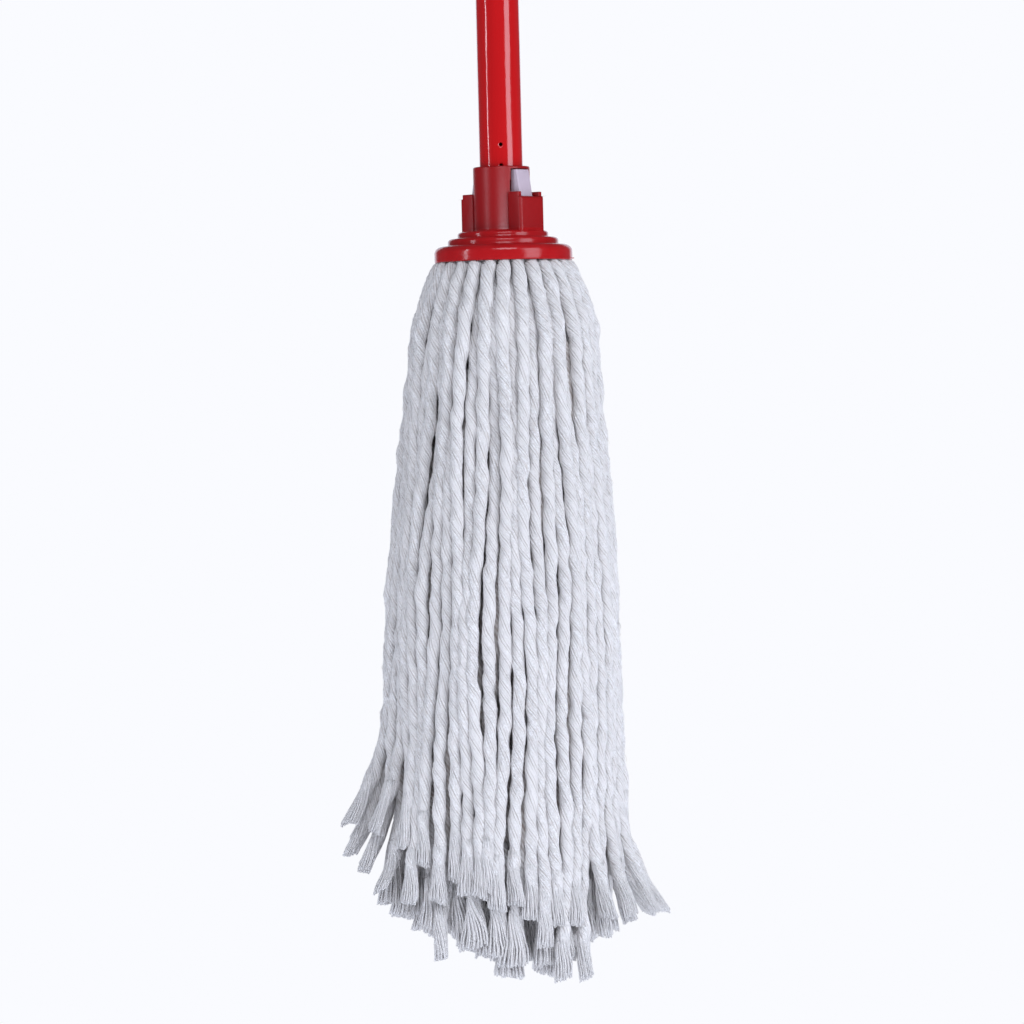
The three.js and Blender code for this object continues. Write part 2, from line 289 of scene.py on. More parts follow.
class YarnMesh:
    # gathers tubes of yarn into one mesh, with what its material reads
    def __init__(self):
        self.points, self.faces, self.space, self.groove, self.total = [], [], [], [], 0

    def addTube(self, rings, space, groove):
        # rings: rings x sides x 3; the ends are closed
        count, sides = rings.shape[:2]
        first = self.total
        here = first + np.arange(count * sides).reshape(count, sides)
        beside = np.roll(here, -1, axis=1)
        quads = np.stack([here[:-1], beside[:-1], beside[1:], here[1:]], axis=-1).reshape(-1, 4)
        self.faces += quads.tolist()
        self.faces += [here[0][::-1].tolist(), here[-1].tolist()]
        self.points.append(rings.reshape(-1, 3))
        self.space.append(space.reshape(-1, 3))
        self.groove.append(groove.reshape(-1))
        self.total += count * sides

    def make(self, name):
        mesh = bpy.data.meshes.new(name)
        mesh.from_pydata(np.concatenate(self.points).tolist(), [], self.faces)
        space = mesh.attributes.new("yarnSpace", "FLOAT_VECTOR", "POINT")
        space.data.foreach_set("vector", np.concatenate(self.space).astype(np.float32).ravel())
        # groove: how much painted shade lies on each point, in the grooves between plies
        groove = mesh.attributes.new("groove", "FLOAT", "POINT")
        groove.data.foreach_set("value", np.concatenate(self.groove).astype(np.float32))
        mesh.polygons.foreach_set("use_smooth", [True] * len(mesh.polygons))
        mesh.update()
        piece = bpy.data.objects.new(name, mesh)
        bpy.context.scene.collection.objects.link(piece)
        return piece


def spinStrand(gather, route, seed, plies=None, ply=None, step=None, plump=1.0, fan=1.0, lint=True, bundleShade=0.0):
    # one strand: a twisted bundle of plies that opens into a frayed end, and some lint; returns its line
    look = strandLook
    plies, ply, step = plies or look["plies"], ply or look["ply"], step or look["ringStep"]
    chance = np.random.default_rng(1000 + seed)
    phase = chance.uniform(0, 6.28, 12)
    radius = yarn["radius"] * look["plump"] * plump * mm
    line, along = evenSteps(route, step * mm)
    across, over = sideways(line)
    whole = along[-1]
    free = (smooth(along, 12 * mm, 50 * mm) * look["curl"] * mm)[:, None]
    line = (line + free * np.sin(2 * math.pi * along / (27 * mm) + phase[4])[:, None] * across
            + free * np.cos(2 * math.pi * along / (33 * mm) + phase[5])[:, None] * over)
    across, over = sideways(line)
    sides = plies * len(ply)
    index = np.arange(sides)
    turns = along / (look["pitch"] * mm) + 0.10 * np.sin(2 * math.pi * along / (70 * mm) + phase[6])
    twist = phase[7] - 2 * math.pi * turns
    angle = 2 * math.pi * index[None, :] / sides + twist[:, None]
    crest = np.array(ply * plies)
    thick = (1 + look["swell"] * np.sin(2 * math.pi * along / (24 * mm) + phase[0])
             * np.sin(2 * math.pi * along / (80 * mm) + phase[1])
             + 0.035 * np.sin(2 * math.pi * along / (11 * mm) + phase[2]))
    thick += look["fuller"] * smooth(along, 1.5 * mm, 7 * mm) * (1 - smooth(along, 30 * mm, look["fullerTo"] * mm))
    thick[0] *= 0.5
    oval = 1 + look["oval"] * np.cos(2 * angle - (2 * twist * 0.9)[:, None] + phase[3])
    # the plies are of uneven weight, and each rises and sinks along the strand
    weight = 0.5 + 0.5 * np.cos(index[None, :] * 2 * math.pi / sides * 3 + phase[8]
                                + 2 * math.pi * along[:, None] / (46 * mm))
    depth = look["plyDepth"] * (0.55 + 0.9 * weight)
    lumps = 0.026 * np.sin(index[None, :] * 2 * math.pi / sides * 5 + phase[9]
                           + 2 * math.pi * along[:, None] / (9 * mm))
    lumps = lumps + chance.uniform(-0.028, 0.028, (len(line), sides))
    reach = radius * thick[:, None] * oval * (1 - depth * (1 - crest)[None, :] + lumps)
    ring = line[:, None, :] + reach[..., None] * (np.cos(angle)[..., None] * across[:, None, :]
                                                  + np.sin(angle)[..., None] * over[:, None, :])
    straight = 2 * math.pi * index / sides
    space = np.stack([np.broadcast_to(radius * np.cos(straight) + seed * 0.037, angle.shape),
                      np.broadcast_to(radius * np.sin(straight), angle.shape),
                      np.broadcast_to(along[:, None], angle.shape)], axis=-1)
    # painted shade in the grooves between plies, deeper beside the heavy plies
    groove = (1 - crest)[None, :] * (0.4 + 0.6 * weight)
    # strands inside the bundle get more painted warm shade, which fades out before their free end
    groove = groove + bundleShade * (1 - smooth(along, whole - 75 * mm, whole - 40 * mm))[:, None]
    # the body stops inside the brush of its frayed end
    keep = len(line) - int(15 / step)
    for back, share in ((1, 0.5), (2, 0.75), (3, 0.9)):
        ring[keep - back] = line[keep - back] + (ring[keep - back] - line[keep - back]) * share
    gather.addTube(ring[:keep], space[:keep], groove[:keep])
    frayEnd(gather, line, along, across, over, twist, radius, fan, seed, chance)
    if lint:
        addLint(gather, line, along, across, over, thick, seed, chance)
    return line, whole


def thread(gather, path, width, taper, space, sides=5):
    # a thin round thread along a few points
    across, over = sideways(path)
    angle = 2 * math.pi * np.arange(sides) / sides
    reach = width * np.linspace(1, taper, len(path))
    ring = path[:, None, :] + reach[:, None, None] * (np.cos(angle)[None, :, None] * across[:, None, :]
                                                      + np.sin(angle)[None, :, None] * over[:, None, :])
    groove = np.full((len(path), sides), 0.1)
    at = np.broadcast_to(np.array(space), ring.shape) + (ring - path[0])
    gather.addTube(ring, at, groove)


def frayEnd(gather, line, along, across, over, twist, radius, wider, seed, chance):
    # the plies come undone into a dense brush, widest round the head, cut off nearly level
    look = strandLook
    count = look["frayThreads"]
    whole = along[-1]
    start = whole - (look["fray"] + 4) * mm
    outward = np.array([line[-1][0], line[-1][1], 0])
    outward /= np.linalg.norm(outward) + 1e-9
    wide = np.array([-outward[1], outward[0], 0])
    turnFan = chance.uniform(-0.5, 0.5)
    wide, outward = (wide * math.cos(turnFan) + outward * math.sin(turnFan),
                     outward * math.cos(turnFan) - wide * math.sin(turnFan))
    fanWide = look["fanWide"] * wider * mm * chance.uniform(0.8, 1.0)
    fanDeep = look["fanDeep"] * wider * mm * chance.uniform(0.7, 1.0)
    slant = chance.uniform(-2.5, 2.5) * mm
    steps = np.linspace(0, 1, 8)
    for n in range(count):
        share = math.sqrt((n + 0.5) / count)
        around = n * 2.39996 + seed
        end = whole + slant * share * math.cos(around) + chance.uniform(-1.8, 0.6) * mm
        at = start + (end - start) * steps
        centre = np.stack([np.interp(at, along, line[:, c]) for c in range(3)], axis=1)
        centre[:, 2] -= np.maximum(at - whole, 0)
        turn = around + 0.22 * (np.interp(at, along, twist) - twist[-1])
        a = np.stack([np.interp(at, along, across[:, c]) for c in range(3)], axis=1)
        b = np.stack([np.interp(at, along, over[:, c]) for c in range(3)], axis=1)
        bundled = radius * 0.94 * share * (np.cos(turn)[:, None] * a + np.sin(turn)[:, None] * b)
        aim = math.cos(around) * across[-1] + math.sin(around) * over[-1]
        fan = (share * (wide * fanWide * float(aim @ wide) + outward * fanDeep * float(aim @ outward)))[None, :]
        opened = smooth(steps, 0.05, 1.1)[:, None]
        crimp = (0.3 * mm * np.sin(steps * 15 + chance.uniform(0, 6.28)))[:, None] * wide[None, :]
        path = centre + bundled * (1 - opened) + fan * opened + crimp * opened
        width = chance.uniform(0.42, 0.62) * (heartLook["heavier"] if wider > 1 else 1) * mm
        thread(gather, path, width, 0.8, (seed * 0.037 + n * 0.01, 0, at[0]), sides=4)


def addLint(gather, line, along, across, over, thick, seed, chance):
    radius = yarn["radius"] * mm
    for n in range(strandLook["lint"]):
        k = int(chance.uniform(0.08, 0.93) * (len(line) - 6))
        turn = chance.uniform(0, 6.28)
        side = math.cos(turn) * across[k] + math.sin(turn) * over[k]
        tangent = -math.sin(turn) * across[k] + math.cos(turn) * over[k]
        run = chance.uniform(2.5, 6) * mm
        steps = np.linspace(0, 1, 4)[:, None]
        lift = radius * thick[k] * (0.9 + chance.uniform(0.2, 0.5) * np.sin(steps * 2.6)) * side
        path = line[k] + lift + steps * run * (tangent * chance.uniform(0.1, 0.4) + np.array([0, 0, -0.8]))
        thread(gather, path, chance.uniform(0.09, 0.2) * mm, 0.5, (seed * 0.037, n * 0.01, along[k]), sides=3)


def makeStrands():
    strands = []
    declared = 0
    for i in range(yarn["count"]):
        gather = YarnMesh()
        line, length = spinStrand(gather, outerRoute(i), i)
        piece = gather.make(f"cotton_strand_{i + 1:02d}")
        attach(piece, "mop_head")
        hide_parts(f"yarn_strand_{i + 1:02d}")
        strands.append(piece)
    for i in range(yarn["count"]):
        gather = YarnMesh()
        line, length = spinStrand(gather, betweenRoute(i), 40 + i)
        piece = gather.make(f"cotton_between_{i + 1:02d}")
        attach(piece, "mop_head")
        strands.append(piece)
    for ring, facts in enumerate(heartRings):
        gather = YarnMesh()
        for k in range(facts[0]):
            route, fan = heartRoute(ring, k)
            spinStrand(gather, route, 100 + 30 * ring + k, plies=10, ply=[1, 0.2], step=4.2,
                       plump=heartLook["plump"], fan=fan, lint=False, bundleShade=heartLook["bundleShade"])
        heart = gather.make(f"cotton_heart_{ring + 1}")
        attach(heart, "mop_head")
        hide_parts("yarn_core")
        strands.append(heart)
    return strands


def makeFolds():
    # the folded middles of the yarns, packed in the cup: one arch for each two legs
    gather = YarnMesh()
    turn = np.linspace(0, math.pi, 13)
    arches = [(2 * math.pi * (i + 0.75) / yarn["count"], 26.1, 3.2, -0.6, 2.75) for i in range(yarn["count"])]
    inner = sum(facts[0] for facts in heartRings) // 2
    arches += [(0.1 + 2 * math.pi * k / inner, 14.3, 2.6, 6.2, 2.35) for k in range(inner)]
    for n, (bearing, reach, bend, foot, thick) in enumerate(arches):
        radial = np.array([math.cos(bearing), math.sin(bearing), 0])
        legs = [np.array([bend * c, 0]) for c in (1, -1)]
        arc = np.stack([bend * np.cos(turn), foot + bend * np.sin(turn)], axis=1)
        low = min(foot, -1) - 0.5
        profile = np.vstack([[legs[0][0], low], arc, [legs[1][0], low]])
        path = (reach + profile[:, :1]) * mm * radial[None, :]
        path[:, 2] = rim + profile[:, 1] * mm
        path, along = evenSteps(path, 0.9 * mm)
        across = np.broadcast_to(np.array([-radial[1], radial[0], 0]), path.shape)
        ahead = np.gradient(path, axis=0)
        ahead /= np.linalg.norm(ahead, axis=1)[:, None]
        over = np.cross(ahead, across)
        index = np.arange(24)
        angle = 2 * math.pi * index[None, :] / 24 + (2 * math.pi * along / (33 * mm))[:, None]
        crest = np.abs(np.cos(math.pi * index * 8 / 24))
        size = thick * mm * (1 - 0.15 * (1 - crest))[None, :, None]
        ring = path[:, None, :] + size * (np.cos(angle)[..., None] * across[:, None, :]
                                          + np.sin(angle)[..., None] * over[:, None, :])
        straight = 2 * math.pi * index / 24
        space = np.stack([np.broadcast_to(thick * mm * np.cos(straight), angle.shape) + n * 0.03,
                          np.broadcast_to(thick * mm * np.sin(straight), angle.shape),
                          np.broadcast_to(along[:, None], angle.shape)], axis=-1)
        # 1 - crest paints shade into the grooves of each fold
        gather.addTube(ring, space, np.broadcast_to(1 - crest, angle.shape))
    folds = gather.make("cotton_folds")
    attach(folds, "mop_head")
    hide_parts("yarn_crown")
    return folds


yarnPieces = makeStrands() + [makeFolds()]
print("yarn spun:", len(yarnPieces), "pieces")


def colour(hexText):
    # a written sRGB colour as the linear one that a shader takes
    parts = [int(hexText[k:k + 2], 16) / 255 for k in (1, 3, 5)]
    return tuple(c / 12.92 if c <= 0.04045 else ((c + 0.055) / 1.055) ** 2.4 for c in parts) + (1.0,)


def addNode(tree, kind, settings=None, links=None):
    # settings: node properties or input values; links: input name -> an output of another node
    node = tree.nodes.new(kind)
    for key, value in (settings or {}).items():
        if isinstance(key, str) and hasattr(node, key):
            setattr(node, key, value)
        else:
            node.inputs[key].default_value = value
    for key, output in (links or {}).items():
        tree.links.new(output, node.inputs[key])
    return node


def newMaterial(name, surface):
    material = bpy.data.materials.new(name)
    material.use_nodes = True
    tree = material.node_tree
    tree.nodes.clear()
    shader = addNode(tree, "ShaderNodeBsdfPrincipled", surface)
    output = addNode(tree, "ShaderNodeOutputMaterial")
    tree.links.new(shader.outputs["BSDF"], output.inputs["Surface"])
    return material, tree, shader


# groove is the colour of the painted warm shade in the grooves between plies
cottonLook = {
    "crest": "#F5F3F3", "worn": "#D8D0CA", "speck": "#D3CECB", "cast": "#E8E3E0", "groove": "#A89A90",
    "fibreAcross": 0.5, "fibreAlong": 3.4,          # mm; drawn coarser than cotton's 0.02 mm fibres, to show
    "lintSize": 0.9, "toneSize": 38,
    "bump": 1.0,
}


def spunCotton():
    # ring-spun cotton roving: matt and soft, with fine lines that follow the twist, and painted warm shade in the
    # grooves between plies
    look = cottonLook
    material, tree, shader = newMaterial("spun cotton yarn", {
        "Roughness": 0.92, "Sheen Weight": 0.28, "Sheen Roughness": 0.6, "IOR": 1.5,
        "Specular IOR Level": 0.25})
    space = addNode(tree, "ShaderNodeAttribute", {"attribute_name": "yarnSpace"})
    groove = addNode(tree, "ShaderNodeAttribute", {"attribute_name": "groove"})
    across = 1 / (look["fibreAcross"] * mm)
    along = 1 / (look["fibreAlong"] * mm)
    drawn = addNode(tree, "ShaderNodeMapping", {"Scale": (across, across, along)},
                    {"Vector": space.outputs["Vector"]})
    fibres = addNode(tree, "ShaderNodeTexNoise", {"Scale": 1.0, "Detail": 4.0, "Roughness": 0.62},
                     {"Vector": drawn.outputs["Vector"]})
    patches = addNode(tree, "ShaderNodeTexNoise", {"Scale": 1 / (look["lintSize"] * mm), "Detail": 3.0},
                      {"Vector": space.outputs["Vector"]})
    slow = addNode(tree, "ShaderNodeTexNoise", {"Scale": 1 / (look["toneSize"] * mm), "Detail": 1.0},
                   {"Vector": space.outputs["Vector"]})
    # each noise is spread to 0..1, then mixes one colour into the last
    tone = None
    for source, low, high, under, top in (
            (fibres.outputs["Fac"], 0.38, 0.56, look["worn"], look["crest"]),
            (patches.outputs["Fac"], 0.3, 0.6, look["speck"], None),
            (slow.outputs["Fac"], 0.3, 0.65, look["cast"], None),
            # the groove attribute paints warm shade into the grooves between plies
            (groove.outputs["Fac"], 1.15, 0.3, look["groove"], None)):
        spread = addNode(tree, "ShaderNodeMapRange", {"From Min": low, "From Max": high}, {"Value": source})
        mixed = addNode(tree, "ShaderNodeMix", {"data_type": "RGBA", 6: colour(under)},
                        {0: spread.outputs["Result"]})
        if tone:
            tree.links.new(tone, mixed.inputs[7])
        else:
            mixed.inputs[7].default_value = colour(top)
        tone = mixed.outputs[2]
    tree.links.new(tone, shader.inputs["Base Color"])
    height = addNode(tree, "ShaderNodeMath", {"operation": "MULTIPLY", 1: 0.7}, {0: patches.outputs["Fac"]})
    summed = addNode(tree, "ShaderNodeMath", {"operation": "ADD"},
                     {0: fibres.outputs["Fac"], 1: height.outputs[0]})
    bump = addNode(tree, "ShaderNodeBump", {"Strength": look["bump"], "Distance": 1.0 * mm},
                   {"Height": summed.outputs[0]})
    tree.links.new(bump.outputs["Normal"], shader.inputs["Normal"])
    return material


enamelLook = {"red": "#BE0E11", "deep": "#AF0B0F", "waver": 9.0, "streak": 120.0, "bump": 0.13}


def stovedEnamel():
    # steel tube under stoved enamel: a wet gloss whose reflections waver along the tube
    look = enamelLook
    material, tree, shader = newMaterial("stoved red enamel on steel", {
        "Roughness": 0.13, "IOR": 1.5, "Coat Weight": 0.25, "Coat Roughness": 0.05, "Coat IOR": 1.5})
    place = addNode(tree, "ShaderNodeTexCoord")
    stretched = addNode(tree, "ShaderNodeMapping", {"Scale": (1 / (4 * mm), 1 / (4 * mm), 1 / (look["streak"] * mm))},
                        {"Vector": place.outputs["Object"]})
    streaks = addNode(tree, "ShaderNodeTexNoise", {"Scale": 1.0, "Detail": 2.0}, {"Vector": stretched.outputs["Vector"]})
    flow = addNode(tree, "ShaderNodeTexNoise", {"Scale": 1 / (look["waver"] * mm), "Detail": 1.5},
                   {"Vector": place.outputs["Object"]})
    shade = addNode(tree, "ShaderNodeMix", {"data_type": "RGBA", 6: colour(look["deep"]), 7: colour(look["red"])},
                    {0: streaks.outputs["Fac"]})
    tree.links.new(shade.outputs[2], shader.inputs["Base Color"])
    height = addNode(tree, "ShaderNodeMath", {"operation": "ADD"}, {0: streaks.outputs["Fac"], 1: flow.outputs["Fac"]})
    bump = addNode(tree, "ShaderNodeBump", {"Strength": look["bump"], "Distance": 1.0 * mm}, {"Height": height.outputs[0]})
    tree.links.new(bump.outputs["Normal"], shader.inputs["Normal"])
    tree.links.new(bump.outputs["Normal"], shader.inputs["Coat Normal"])
    return material


mouldedLook = {"red": "#A20F13", "pale": "#AC191D", "grain": 0.9, "flow": 11.0, "bump": 0.10,
               "polished": 0.15, "satin": 0.34, "satinFrom": 15.5, "dull": "#920D11"}


def mouldedPolypropylene():
    # injection-moulded polypropylene with soft flow marks: the flange shines as from a polished mould,
    # the collar and pockets over it are satin
    look = mouldedLook
    material, tree, shader = newMaterial("moulded red polypropylene", {
        "Roughness": 0.24, "IOR": 1.49, "Specular IOR Level": 0.36,
        "Subsurface Weight": 0.04, "Subsurface Scale": 0.002, "Subsurface Radius": (1.0, 0.2, 0.15)})
    place = addNode(tree, "ShaderNodeTexCoord")
    grain = addNode(tree, "ShaderNodeTexNoise", {"Scale": 1 / (look["grain"] * mm), "Detail": 3.0},
                    {"Vector": place.outputs["Object"]})
    flow = addNode(tree, "ShaderNodeTexNoise", {"Scale": 1 / (look["flow"] * mm), "Detail": 3.0, "Distortion": 0.6},
                   {"Vector": place.outputs["Object"]})
    cloud = addNode(tree, "ShaderNodeMapRange", {"From Min": 0.35, "From Max": 0.7}, {"Value": flow.outputs["Fac"]})
    shade = addNode(tree, "ShaderNodeMix", {"data_type": "RGBA", 6: colour(look["red"]), 7: colour(look["pale"])},
                    {0: cloud.outputs["Result"]})
    apart = addNode(tree, "ShaderNodeSeparateXYZ", links={"Vector": place.outputs["Object"]})
    above = addNode(tree, "ShaderNodeMapRange", {
        "From Min": rim + look["satinFrom"] * mm, "From Max": rim + (look["satinFrom"] + 1.5) * mm},
        {"Value": apart.outputs["Z"]})
    duller = addNode(tree, "ShaderNodeMix", {"data_type": "RGBA", 7: colour(look["dull"])},
                     {0: above.outputs["Result"], 6: shade.outputs[2]})
    tree.links.new(duller.outputs[2], shader.inputs["Base Color"])
    height = addNode(tree, "ShaderNodeMapRange", {
        "From Min": rim + look["satinFrom"] * mm, "From Max": rim + (look["satinFrom"] + 1.5) * mm,
        "To Min": look["polished"], "To Max": look["satin"]}, {"Value": apart.outputs["Z"]})
    mottle = addNode(tree, "ShaderNodeMapRange", {"From Min": 0.3, "From Max": 0.7, "To Min": -0.03, "To Max": 0.05},
                     {"Value": grain.outputs["Fac"]})
    gloss = addNode(tree, "ShaderNodeMath", {"operation": "ADD"},
                    {0: height.outputs["Result"], 1: mottle.outputs["Result"]})
    tree.links.new(gloss.outputs[0], shader.inputs["Roughness"])
    faint = addNode(tree, "ShaderNodeMath", {"operation": "MULTIPLY", 1: 2.5}, {0: flow.outputs["Fac"]})
    height = addNode(tree, "ShaderNodeMath", {"operation": "ADD"}, {0: grain.outputs["Fac"], 1: faint.outputs[0]})
    bump = addNode(tree, "ShaderNodeBump", {"Strength": look["bump"], "Distance": 0.4 * mm}, {"Height": height.outputs[0]})
    tree.links.new(bump.outputs["Normal"], shader.inputs["Normal"])
    return material


milkyLook = {"clear": "#B7A5B0", "cloud": "#C3B3BD", "size": 5.0}


def naturalPolypropylene():
    # uncoloured polypropylene: milky and waxy, light bleeds a little way into it
    look = milkyLook
    material, tree, shader = newMaterial("natural polypropylene", {
        "Roughness": 0.42, "IOR": 1.49, "Subsurface Weight": 0.25, "Subsurface Scale": 0.003,
        "Subsurface Radius": (1.0, 0.9, 1.0)})
    place = addNode(tree, "ShaderNodeTexCoord")
    cloud = addNode(tree, "ShaderNodeTexNoise", {"Scale": 1 / (look["size"] * mm), "Detail": 3.0},
                    {"Vector": place.outputs["Object"]})
    shade = addNode(tree, "ShaderNodeMix", {"data_type": "RGBA", 6: colour(look["clear"]), 7: colour(look["cloud"])},
                    {0: cloud.outputs["Fac"]})
    tree.links.new(shade.outputs[2], shader.inputs["Base Color"])
    scuffs = addNode(tree, "ShaderNodeTexNoise", {"Scale": 1 / (0.8 * mm), "Detail": 2.0},
                     {"Vector": place.outputs["Object"]})
    bump = addNode(tree, "ShaderNodeBump", {"Strength": 0.2, "Distance": 0.2 * mm}, {"Height": scuffs.outputs["Fac"]})
    tree.links.new(bump.outputs["Normal"], shader.inputs["Normal"])
    return material


def zincPlate():
    # bright zinc on steel: clean metal with a slight blue cast and fine turning marks
    material, tree, shader = newMaterial("zinc plated steel", {"Metallic": 1.0, "Roughness": 0.3})
    place = addNode(tree, "ShaderNodeTexCoord")
    marks = addNode(tree, "ShaderNodeTexNoise", {"Scale": 1 / (0.5 * mm), "Detail": 4.0},
                    {"Vector": place.outputs["Object"]})
    shade = addNode(tree, "ShaderNodeMix", {"data_type": "RGBA", 6: colour("#A9AEB8"), 7: colour("#C6C8CC")},
                    {0: marks.outputs["Fac"]})
    tree.links.new(shade.outputs[2], shader.inputs["Base Color"])
    wear = addNode(tree, "ShaderNodeMapRange", {"From Min": 0.3, "From Max": 0.75, "To Min": 0.24, "To Max": 0.42},
                   {"Value": marks.outputs["Fac"]})
    tree.links.new(wear.outputs["Result"], shader.inputs["Roughness"])
    return material


cotton, enamel, redPlastic, milkyPlastic, zinc = (
    spunCotton(), stovedEnamel(), mouldedPolypropylene(), naturalPolypropylene(), zincPlate())


def dress(piece, material):
    piece.data.materials.clear()
    piece.data.materials.append(material)


for piece in yarnPieces:
    dress(piece, cotton)
print("materials made")


def deselectAll():
    if bpy.context.object and bpy.context.object.mode != "OBJECT":
        bpy.ops.object.mode_set(mode="OBJECT")
    bpy.ops.object.select_all(action="DESELECT")


def makeActive(piece):
    deselectAll()
    piece.select_set(True)
    bpy.context.view_layer.objects.active = piece


def applyPlace(piece):
    makeActive(piece)
    bpy.ops.object.transform_apply(location=True, rotation=True, scale=True)


def outlined(name, points):
    # an open or closed outline of (x, z) points in millimetres, as edges in the XZ plane
    mesh = bpy.data.meshes.new(name)
    verts = [(x * mm, 0, z * mm) for x, z in points]
    mesh.from_pydata(verts, [(k, k + 1) for k in range(len(verts) - 1)], [])
    piece = bpy.data.objects.new(name, mesh)
    bpy.context.scene.collection.objects.link(piece)
    makeActive(piece)
    return piece


def tidyMesh():
    bpy.ops.mesh.select_all(action="SELECT")
    bpy.ops.mesh.remove_doubles(threshold=0.002 * mm)
    bpy.ops.mesh.normals_make_consistent(inside=False)


def turnedPiece(name, profile, steps=128, closed=True):
    # spins an outline of (radius, height) round Z
    piece = outlined(name, profile + profile[:1] if closed else profile)
    bpy.ops.object.mode_set(mode="EDIT")
    bpy.ops.mesh.select_all(action="SELECT")
    bpy.ops.mesh.spin(steps=steps, angle=2 * math.pi, center=(0, 0, 0), axis=(0, 0, 1))
    tidyMesh()
    bpy.ops.object.mode_set(mode="OBJECT")
    return piece


def slabPiece(name, outline, width):
    # an (x, z) outline filled and extruded to a width centred on the XZ plane
    piece = outlined(name, outline + outline[:1])
    bpy.ops.object.mode_set(mode="EDIT")
    tidyMesh()
    bpy.ops.mesh.edge_face_add()
    bpy.ops.mesh.extrude_region_move(TRANSFORM_OT_translate={"value": (0, width * mm, 0)})
    bpy.ops.mesh.select_all(action="SELECT")
    bpy.ops.transform.translate(value=(0, -width * mm / 2, 0))
    tidyMesh()
    bpy.ops.object.mode_set(mode="OBJECT")
    return piece


def rodPiece(name, radius, low, high, steps=64, axis="Z", place=(0, 0)):
    bpy.ops.mesh.primitive_cylinder_add(vertices=steps, radius=radius * mm, depth=(high - low) * mm)
    piece = bpy.context.object
    piece.name = name
    middle = (high + low) / 2 * mm
    if axis == "Z":
        piece.location = (place[0] * mm, place[1] * mm, middle)
    elif axis == "Y":
        piece.rotation_euler = (math.pi / 2, 0, 0)
        piece.location = (place[0] * mm, middle, place[1] * mm)
    else:
        piece.rotation_euler = (0, math.pi / 2, 0)
        piece.location = (middle, place[0] * mm, place[1] * mm)
    applyPlace(piece)
    return piece


def boxPiece(name, x, y, z):
    bpy.ops.mesh.primitive_cube_add(size=1, location=(sum(x) / 2 * mm, sum(y) / 2 * mm, sum(z) / 2 * mm),
                                    scale=((x[1] - x[0]) * mm, (y[1] - y[0]) * mm, (z[1] - z[0]) * mm))
    piece = bpy.context.object
    piece.name = name
    applyPlace(piece)
    return piece


def turnedBy(piece, degrees):
    piece.rotation_euler = (0, 0, math.radians(degrees))
    applyPlace(piece)
    return piece


def joinOrCut(piece, tool, operation):
    modifier = piece.modifiers.new("boolean", "BOOLEAN")
    modifier.operation = operation
    modifier.solver = "EXACT"
    modifier.object = tool
    makeActive(piece)
    bpy.ops.object.modifier_apply(modifier=modifier.name)
    bpy.data.objects.remove(tool)


def softenEdges(piece, width, segments=2, limit=32, merge=True):
    # rounds the sharp edges, then shades the curved faces smooth
    makeActive(piece)
    bpy.ops.object.mode_set(mode="EDIT")
    bpy.ops.mesh.select_all(action="SELECT")
    bpy.ops.mesh.remove_doubles(threshold=0.01 * mm)
    if merge:
        bpy.ops.mesh.dissolve_limited(angle_limit=math.radians(0.5))    # flat faces that the cuts broke up
    bpy.ops.object.mode_set(mode="OBJECT")
    modifier = piece.modifiers.new("bevel", "BEVEL")
    modifier.width = width * mm
    modifier.segments = segments
    modifier.limit_method = "ANGLE"
    modifier.angle_limit = math.radians(limit)
    modifier.use_clamp_overlap = False
    modifier.miter_outer = "MITER_ARC"
    bpy.ops.object.modifier_apply(modifier=modifier.name)
    bpy.ops.object.shade_smooth_by_angle(angle=math.radians(40))


def placeHead(piece):
    # the pieces of the head are modelled about the flange's rim, then moved into place
    piece.location = (0, 0, rim)
    applyPlace(piece)
    return piece


def finished(piece, body, slotName, material, *nodes):
    dress(piece, material)
    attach(piece, body)
    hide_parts(*nodes)
    return piece


def quarterRound(radius, top, rounding, parts=6):
    return [(radius - rounding * (1 - math.cos(a)), top - rounding * (1 - math.sin(a)))
            for a in (k / parts * math.pi / 2 for k in range(parts + 1))]


tubeLook = {
    "wall": 0.7,
    "holes": [31.1, 41.7],      # above the tube's lower end
    "holeBearing": -45,
    "holeRadius": 0.9,
    "dimple": 2.6, "dimpleOut": 0.82,   # the punch draws the wall in round each hole
    "calm": 2.0,                # rows this far off a hole keep its shading to itself
    "steps": 160,
}


def makeHandle():
    low, high = tube[0].z / mm, tube[1].z / mm
    radius = tubeRadius / mm
    inner = radius - tubeLook["wall"]
    rows = [low + 60, low + 300, low + 600, low + 900]
    rows += [low + height + side * tubeLook["calm"] for height in tubeLook["holes"] for side in (-1, 1)]
    handle = turnedPiece("enamelled_tube", [
        (inner, low), (radius - 0.2, low), (radius, low + 0.2), *((radius, row) for row in sorted(rows)),
        (radius, high - 0.2), (radius - 0.2, high), (inner, high)], steps=tubeLook["steps"])
    for height in tubeLook["holes"]:
        # a shallow dish, then the hole through one wall
        bpy.ops.mesh.primitive_uv_sphere_add(segments=32, ring_count=16, radius=tubeLook["dimple"] * mm)
        dish = bpy.context.object
        dish.location = ((radius + tubeLook["dimple"] * tubeLook["dimpleOut"]) * mm, 0, (low + height) * mm)
        applyPlace(dish)
        joinOrCut(handle, turnedBy(dish, tubeLook["holeBearing"]), "DIFFERENCE")
        drill = rodPiece("drill", tubeLook["holeRadius"], radius / 2, radius + 2, steps=28, axis="X",
                         place=(0, low + height))
        joinOrCut(handle, turnedBy(drill, tubeLook["holeBearing"]), "DIFFERENCE")
    softenEdges(handle, 0.1, segments=2, limit=30, merge=False)
    return finished(handle, "handle", "handle_enamel", enamel, "handle_tube")


capLook = {"sleeve": 26, "tipRadius": 9, "tabHalf": 4.5, "tabHeight": 24, "eyeRadius": 4.5, "edge": 1.1}


